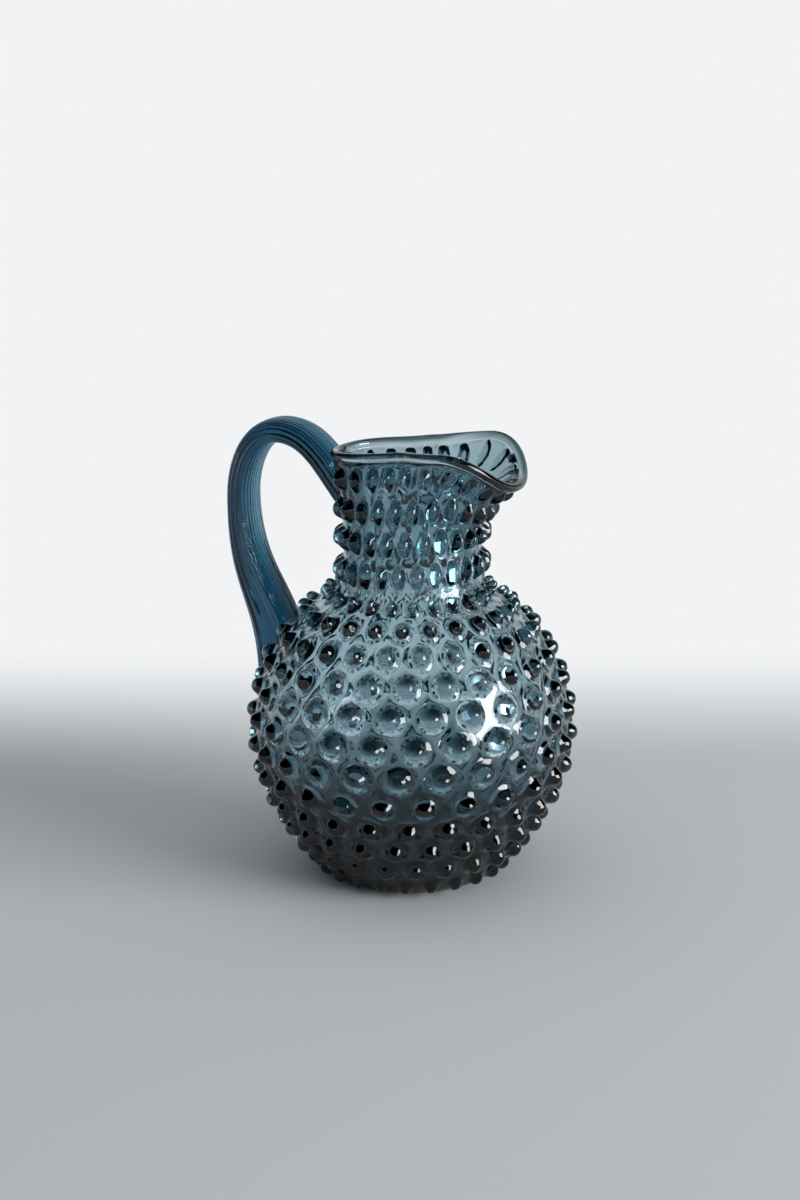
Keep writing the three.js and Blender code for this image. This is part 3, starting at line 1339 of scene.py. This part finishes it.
        def place(column: int, ring: int) -> Vector:
            """Place of a corner on the rim, the inside or its floor.

            Args:
                column: Place round the vessel.
                ring: Ring of corners from the rim in.

            Returns:
                The place, in millimetres.
            """
            angle = pattern.corner(top, column)[0]
            if ring == 0:
                return self.corner_point(top, column)
            ring -= 1
            if ring < self.bead_steps:
                share = ring / (self.bead_steps - 1)
                turn = self.bead_start + (self.bead_end - self.bead_start) * share
                run = glass.rim_run - glass.bead
                outward, _, up = glass.lay(angle, run)
                out = glass.bead * (math.cos(turn) - glass.bead_sink)
                return glass.point(angle, run) + outward * out + up * (glass.bead * math.sin(turn))
            ring -= self.bead_steps
            if ring < self.lining_rings:
                return inside(angle, start * (1 - ring / (self.lining_rings - 1)))
            share = 1 - (ring - self.lining_rings + 1) / self.floor_rings
            edge = inside(angle, 0.0)
            return Vector((edge.x * share, edge.y * share, edge.z))

        rings = 1 + self.bead_steps + self.lining_rings + self.floor_rings
        sheet = tube("lining", self.columns, rings)
        wrap(sheet, self.columns, rings, place)
        return sheet

    def foot(self) -> bpy.types.Object:
        """Builds the foot, slightly hollow underneath, and returns it."""
        rings = 2 + len(self.foot_profile)

        def place(column: int, ring: int) -> Vector:
            """Place of a corner on the heel or underneath.

            Args:
                column: Place round the vessel.
                ring: Ring of corners from the heel in.

            Returns:
                The place, in millimetres.
            """
            if ring == 0:
                return self.corner_point(0, column)
            angle = self.pattern.corner(0, column)[0]
            if ring == 1:
                return self.glass.point(angle, self.pattern.foot_band / 2)
            share, height = self.foot_profile[ring - 2]
            radius = self.glass.base_radius * share
            return Vector((radius * math.cos(angle), radius * math.sin(angle), height))

        sheet = tube("foot", self.columns, rings)
        wrap(sheet, self.columns, rings, place)
        return sheet

    def mark_rim_painted_shade(self, vessel: bpy.types.Object) -> None:
        """Stores for the material how much painted shade each corner takes, by how near it is to
        the top of the rolled rim.

        Args:
            vessel: The whole vessel.
        """
        glass = self.glass
        run = glass.rim_run - glass.bead
        # Painted shade: a share from 0 to 1 of the darker rim tint for each corner
        rim_shades = vessel.data.attributes.new(RIM_SHADE_MARK, "FLOAT", "POINT")
        for vertex, rim_shade in zip(vessel.data.vertices, rim_shades.data):
            point = vertex.co / MM
            if point.z < glass.neck_top:
                continue
            angle = math.atan2(point.y, point.x)
            up = glass.lay(angle, run)[2]
            rise = (point - glass.point(angle, run)).dot(up) / glass.bead
            rim_shade.value = min(max((rise - self.rim_shade_low) / self.rim_shade_fade, 0.0), 1.0)

    def build(self) -> bpy.types.Object:
        """Builds the whole vessel and returns it."""
        vessel = weld("blown_vessel", [self.hobnailed_wall(), self.lining(), self.foot()])
        self.mark_rim_painted_shade(vessel)
        return vessel


# Studio


@dataclass(frozen=True)
class Lamp:
    """A soft rectangular lamp, placed by its angles round the object, in degrees and metres."""

    name: str
    azimuth: float
    elevation: float
    distance: float
    width: float
    height: float
    power: float

    def build(self, aim: Vector) -> None:
        """Adds the lamp.

        Args:
            aim: Point that it is turned to, in metres.
        """
        turn, lift = math.radians(self.azimuth), math.radians(self.elevation)
        away = Vector(
            (
                math.sin(turn) * math.cos(lift),
                -math.cos(turn) * math.cos(lift),
                math.sin(lift),
            )
        )
        deselect()
        bpy.ops.object.light_add(type="AREA", location=aim + away * self.distance)
        lamp = bpy.context.object
        lamp.name = self.name
        lamp.rotation_euler = away.to_track_quat("Z", "Y").to_euler()
        lamp.data.shape = "RECTANGLE"
        lamp.data.size, lamp.data.size_y = self.width, self.height
        lamp.data.energy = self.power


@dataclass(frozen=True)
class Studio:
    """Pale floor, white backdrop, soft light and the camera, in metres and degrees."""

    floor_size: float = 60.0
    floor_near: str = "#B5B8BB"
    floor_far: str = "#F1F3F5"
    floor_roughness: float = 0.9
    floor_gloss: float = 0.0
    backdrop: str = "#F1F3F5"
    surround: str = "#0A0C0E"
    fill: str = "#F1F3F5"
    fill_low: float = 0.25
    fill_high: float = 0.9
    back_way: tuple[float, float, float] = (-0.37, 0.917, 0.15)
    back_low: float = 0.6
    back_high: float = 0.88
    fade_start: float = 0.14
    fade_end: float = 0.4
    ring_start: float = 0.8
    ring_end: float = 1.8
    band_low: float = 0.05
    band_high: float = 0.12
    aim_height: float = 0.09
    camera_place: tuple[float, float, float] = (0.3544, -0.8933, 0.391)
    camera_turn: tuple[float, float, float] = (75.35, 0.0, 22.0)
    lens: float = 60.0
    sensor: float = 36.0
    lamps: tuple[Lamp, ...] = (
        Lamp(
            "window_lamp",
            azimuth=84.0,
            elevation=12.0,
            distance=3.0,
            width=2.1,
            height=1.7,
            power=158.0,
        ),
    )

    def seen(self, tree: bpy.types.NodeTree) -> bpy.types.NodeSocket:
        """Tells what is looked at from what is only lit.

        Args:
            tree: Node tree that takes the nodes.

        Returns:
            Output that is 1 for rays from the camera, from gloss and through glass.
        """
        path = add_node(tree, "ShaderNodeLightPath")
        first = add_node(
            tree,
            "ShaderNodeMath",
            {0: path.outputs["Is Camera Ray"], 1: path.outputs["Is Glossy Ray"]},
            {"operation": "ADD"},
        )
        both = add_node(
            tree,
            "ShaderNodeMath",
            {0: first.outputs[0], 1: path.outputs["Is Transmission Ray"]},
            {"operation": "ADD", "use_clamp": True},
        )
        return both.outputs[0]

    def floor_material(self) -> bpy.types.Material:
        """Builds the floor's matt paint, rolled on thin, and returns it.

        The eye sees a plain grey that takes a soft shadow and turns white behind and far off.
        """
        material = bpy.data.materials.new("matt_studio_paint")
        material.use_nodes = True
        tree = material.node_tree
        tree.nodes.clear()
        place = add_node(tree, "ShaderNodeTexCoord").outputs["Object"]
        reach = add_node(
            tree,
            "ShaderNodeVectorMath",
            {0: place, 1: self.back_way},
            {"operation": "DOT_PRODUCT"},
        )
        away = add_node(tree, "ShaderNodeVectorMath", {0: place}, {"operation": "LENGTH"})
        far, ring = (
            add_node(
                tree,
                "ShaderNodeMapRange",
                {"Value": value, "From Min": low, "From Max": high},
                {"interpolation_type": "SMOOTHSTEP"},
            ).outputs["Result"]
            for value, low, high in (
                (reach.outputs["Value"], self.fade_start, self.fade_end),
                (away.outputs["Value"], self.ring_start, self.ring_end),
            )
        )
        pale = add_node(tree, "ShaderNodeMath", {0: far, 1: ring}, {"operation": "MAXIMUM"})
        share = add_node(
            tree,
            "ShaderNodeMath",
            {0: pale.outputs[0], 1: self.seen(tree)},
            {"operation": "MULTIPLY"},
        )
        matt = add_node(
            tree,
            "ShaderNodeBsdfPrincipled",
            {
                "Base Color": linear(self.floor_near),
                "Roughness": self.floor_roughness,
                "Specular IOR Level": self.floor_gloss,
            },
        )
        glow = add_node(
            tree, "ShaderNodeEmission", {"Color": linear(self.floor_far), "Strength": 1.0}
        )
        mixed = add_node(
            tree,
            "ShaderNodeMixShader",
            {0: share.outputs[0], 1: matt.outputs["BSDF"], 2: glow.outputs["Emission"]},
        )
        add_node(tree, "ShaderNodeOutputMaterial", {"Surface": mixed.outputs["Shader"]})
        return material

    def build_floor(self) -> None:
        """Adds the floor."""
        deselect()
        bpy.ops.mesh.primitive_plane_add(size=self.floor_size)
        floor = bpy.context.object
        floor.name = "studio_floor"
        floor.data.materials.append(self.floor_material())

    def build_world(self) -> None:
        """Sets what surrounds the object.

        It is white behind and in a low band, and dark elsewhere, so that clear glass shows dark
        edges. Matt surfaces take a soft light from overhead instead.
        """
        world = bpy.data.worlds.new("studio_sky")
        bpy.context.scene.world = world
        world.use_nodes = True
        tree = world.node_tree
        tree.nodes.clear()
        way = add_node(tree, "ShaderNodeTexCoord").outputs["Generated"]
        behind = add_node(
            tree, "ShaderNodeVectorMath", {0: way, 1: self.back_way}, {"operation": "DOT_PRODUCT"}
        )
        level = add_node(tree, "ShaderNodeSeparateXYZ", {"Vector": way}).outputs["Z"]
        sheet, band, overhead = (
            add_node(
                tree,
                "ShaderNodeMapRange",
                {"Value": value, "From Min": low, "From Max": high},
                {"interpolation_type": "SMOOTHSTEP"},
            ).outputs["Result"]
            for value, low, high in (
                (behind.outputs["Value"], self.back_low, self.back_high),
                (level, self.band_high, self.band_low),
                (level, self.fill_low, self.fill_high),
            )
        )
        pale = add_node(tree, "ShaderNodeMath", {0: sheet, 1: band}, {"operation": "MAXIMUM"})
        seen, fill = (
            add_node(
                tree,
                "ShaderNodeMix",
                {"Factor": share, MIX_FROM: linear(self.surround), MIX_TO: linear(full)},
                {"data_type": "RGBA"},
            ).outputs[MIXED]
            for share, full in ((pale.outputs[0], self.backdrop), (overhead, self.fill))
        )
        path = add_node(tree, "ShaderNodeLightPath")
        lit = add_node(
            tree,
            "ShaderNodeMix",
            {"Factor": path.outputs["Is Diffuse Ray"], MIX_FROM: seen, MIX_TO: fill},
            {"data_type": "RGBA"},
        )
        sky = add_node(
            tree, "ShaderNodeBackground", {"Color": lit.outputs[MIXED], "Strength": 1.0}
        )
        add_node(tree, "ShaderNodeOutputWorld", {"Surface": sky.outputs["Background"]})

    def build_camera(self) -> None:
        """Adds the camera."""
        deselect()
        turn = [math.radians(a) for a in self.camera_turn]
        bpy.ops.object.camera_add(location=self.camera_place, rotation=turn)
        camera = bpy.context.object
        camera.name = "studio_camera"
        camera.data.lens = self.lens
        camera.data.sensor_width = self.sensor
        bpy.context.scene.camera = camera

    def build(self) -> None:
        """Sets up the whole studio."""
        bpy.context.scene.view_settings.view_transform = "Standard"
        self.build_camera()
        self.build_floor()
        self.build_world()
        for lamp in self.lamps:
            lamp.build(Vector((0.0, 0.0, self.aim_height)))


# Whole scene


def report(piece: bpy.types.Object) -> None:
    """Logs the name and the number of faces of a finished piece."""
    log.info("%s: %d faces", piece.name, len(piece.data.polygons))


def main() -> None:
    """Builds the studio, the vessel and the handle."""
    logging.basicConfig(level=logging.INFO, format="%(message)s")
    Studio().build()
    glass = GlassForm()
    handle = Handle(glass)
    vessel = Vessel(glass, HobnailPattern(glass), handle)
    blown = BlownGlass("blown_blue_soda_glass").make()
    drawn = BlownGlass(
        "drawn_blue_soda_glass", melt="#2DB3C8", density=205.0, wave_size=5.0, streak_size=9.0
    ).make()
    body = vessel.build()
    dress(body, blown, "vessel")
    report(body)
    strap = handle.build()
    dress(strap, drawn, "handle")
    report(strap)


if __name__ == "__main__":
    main()
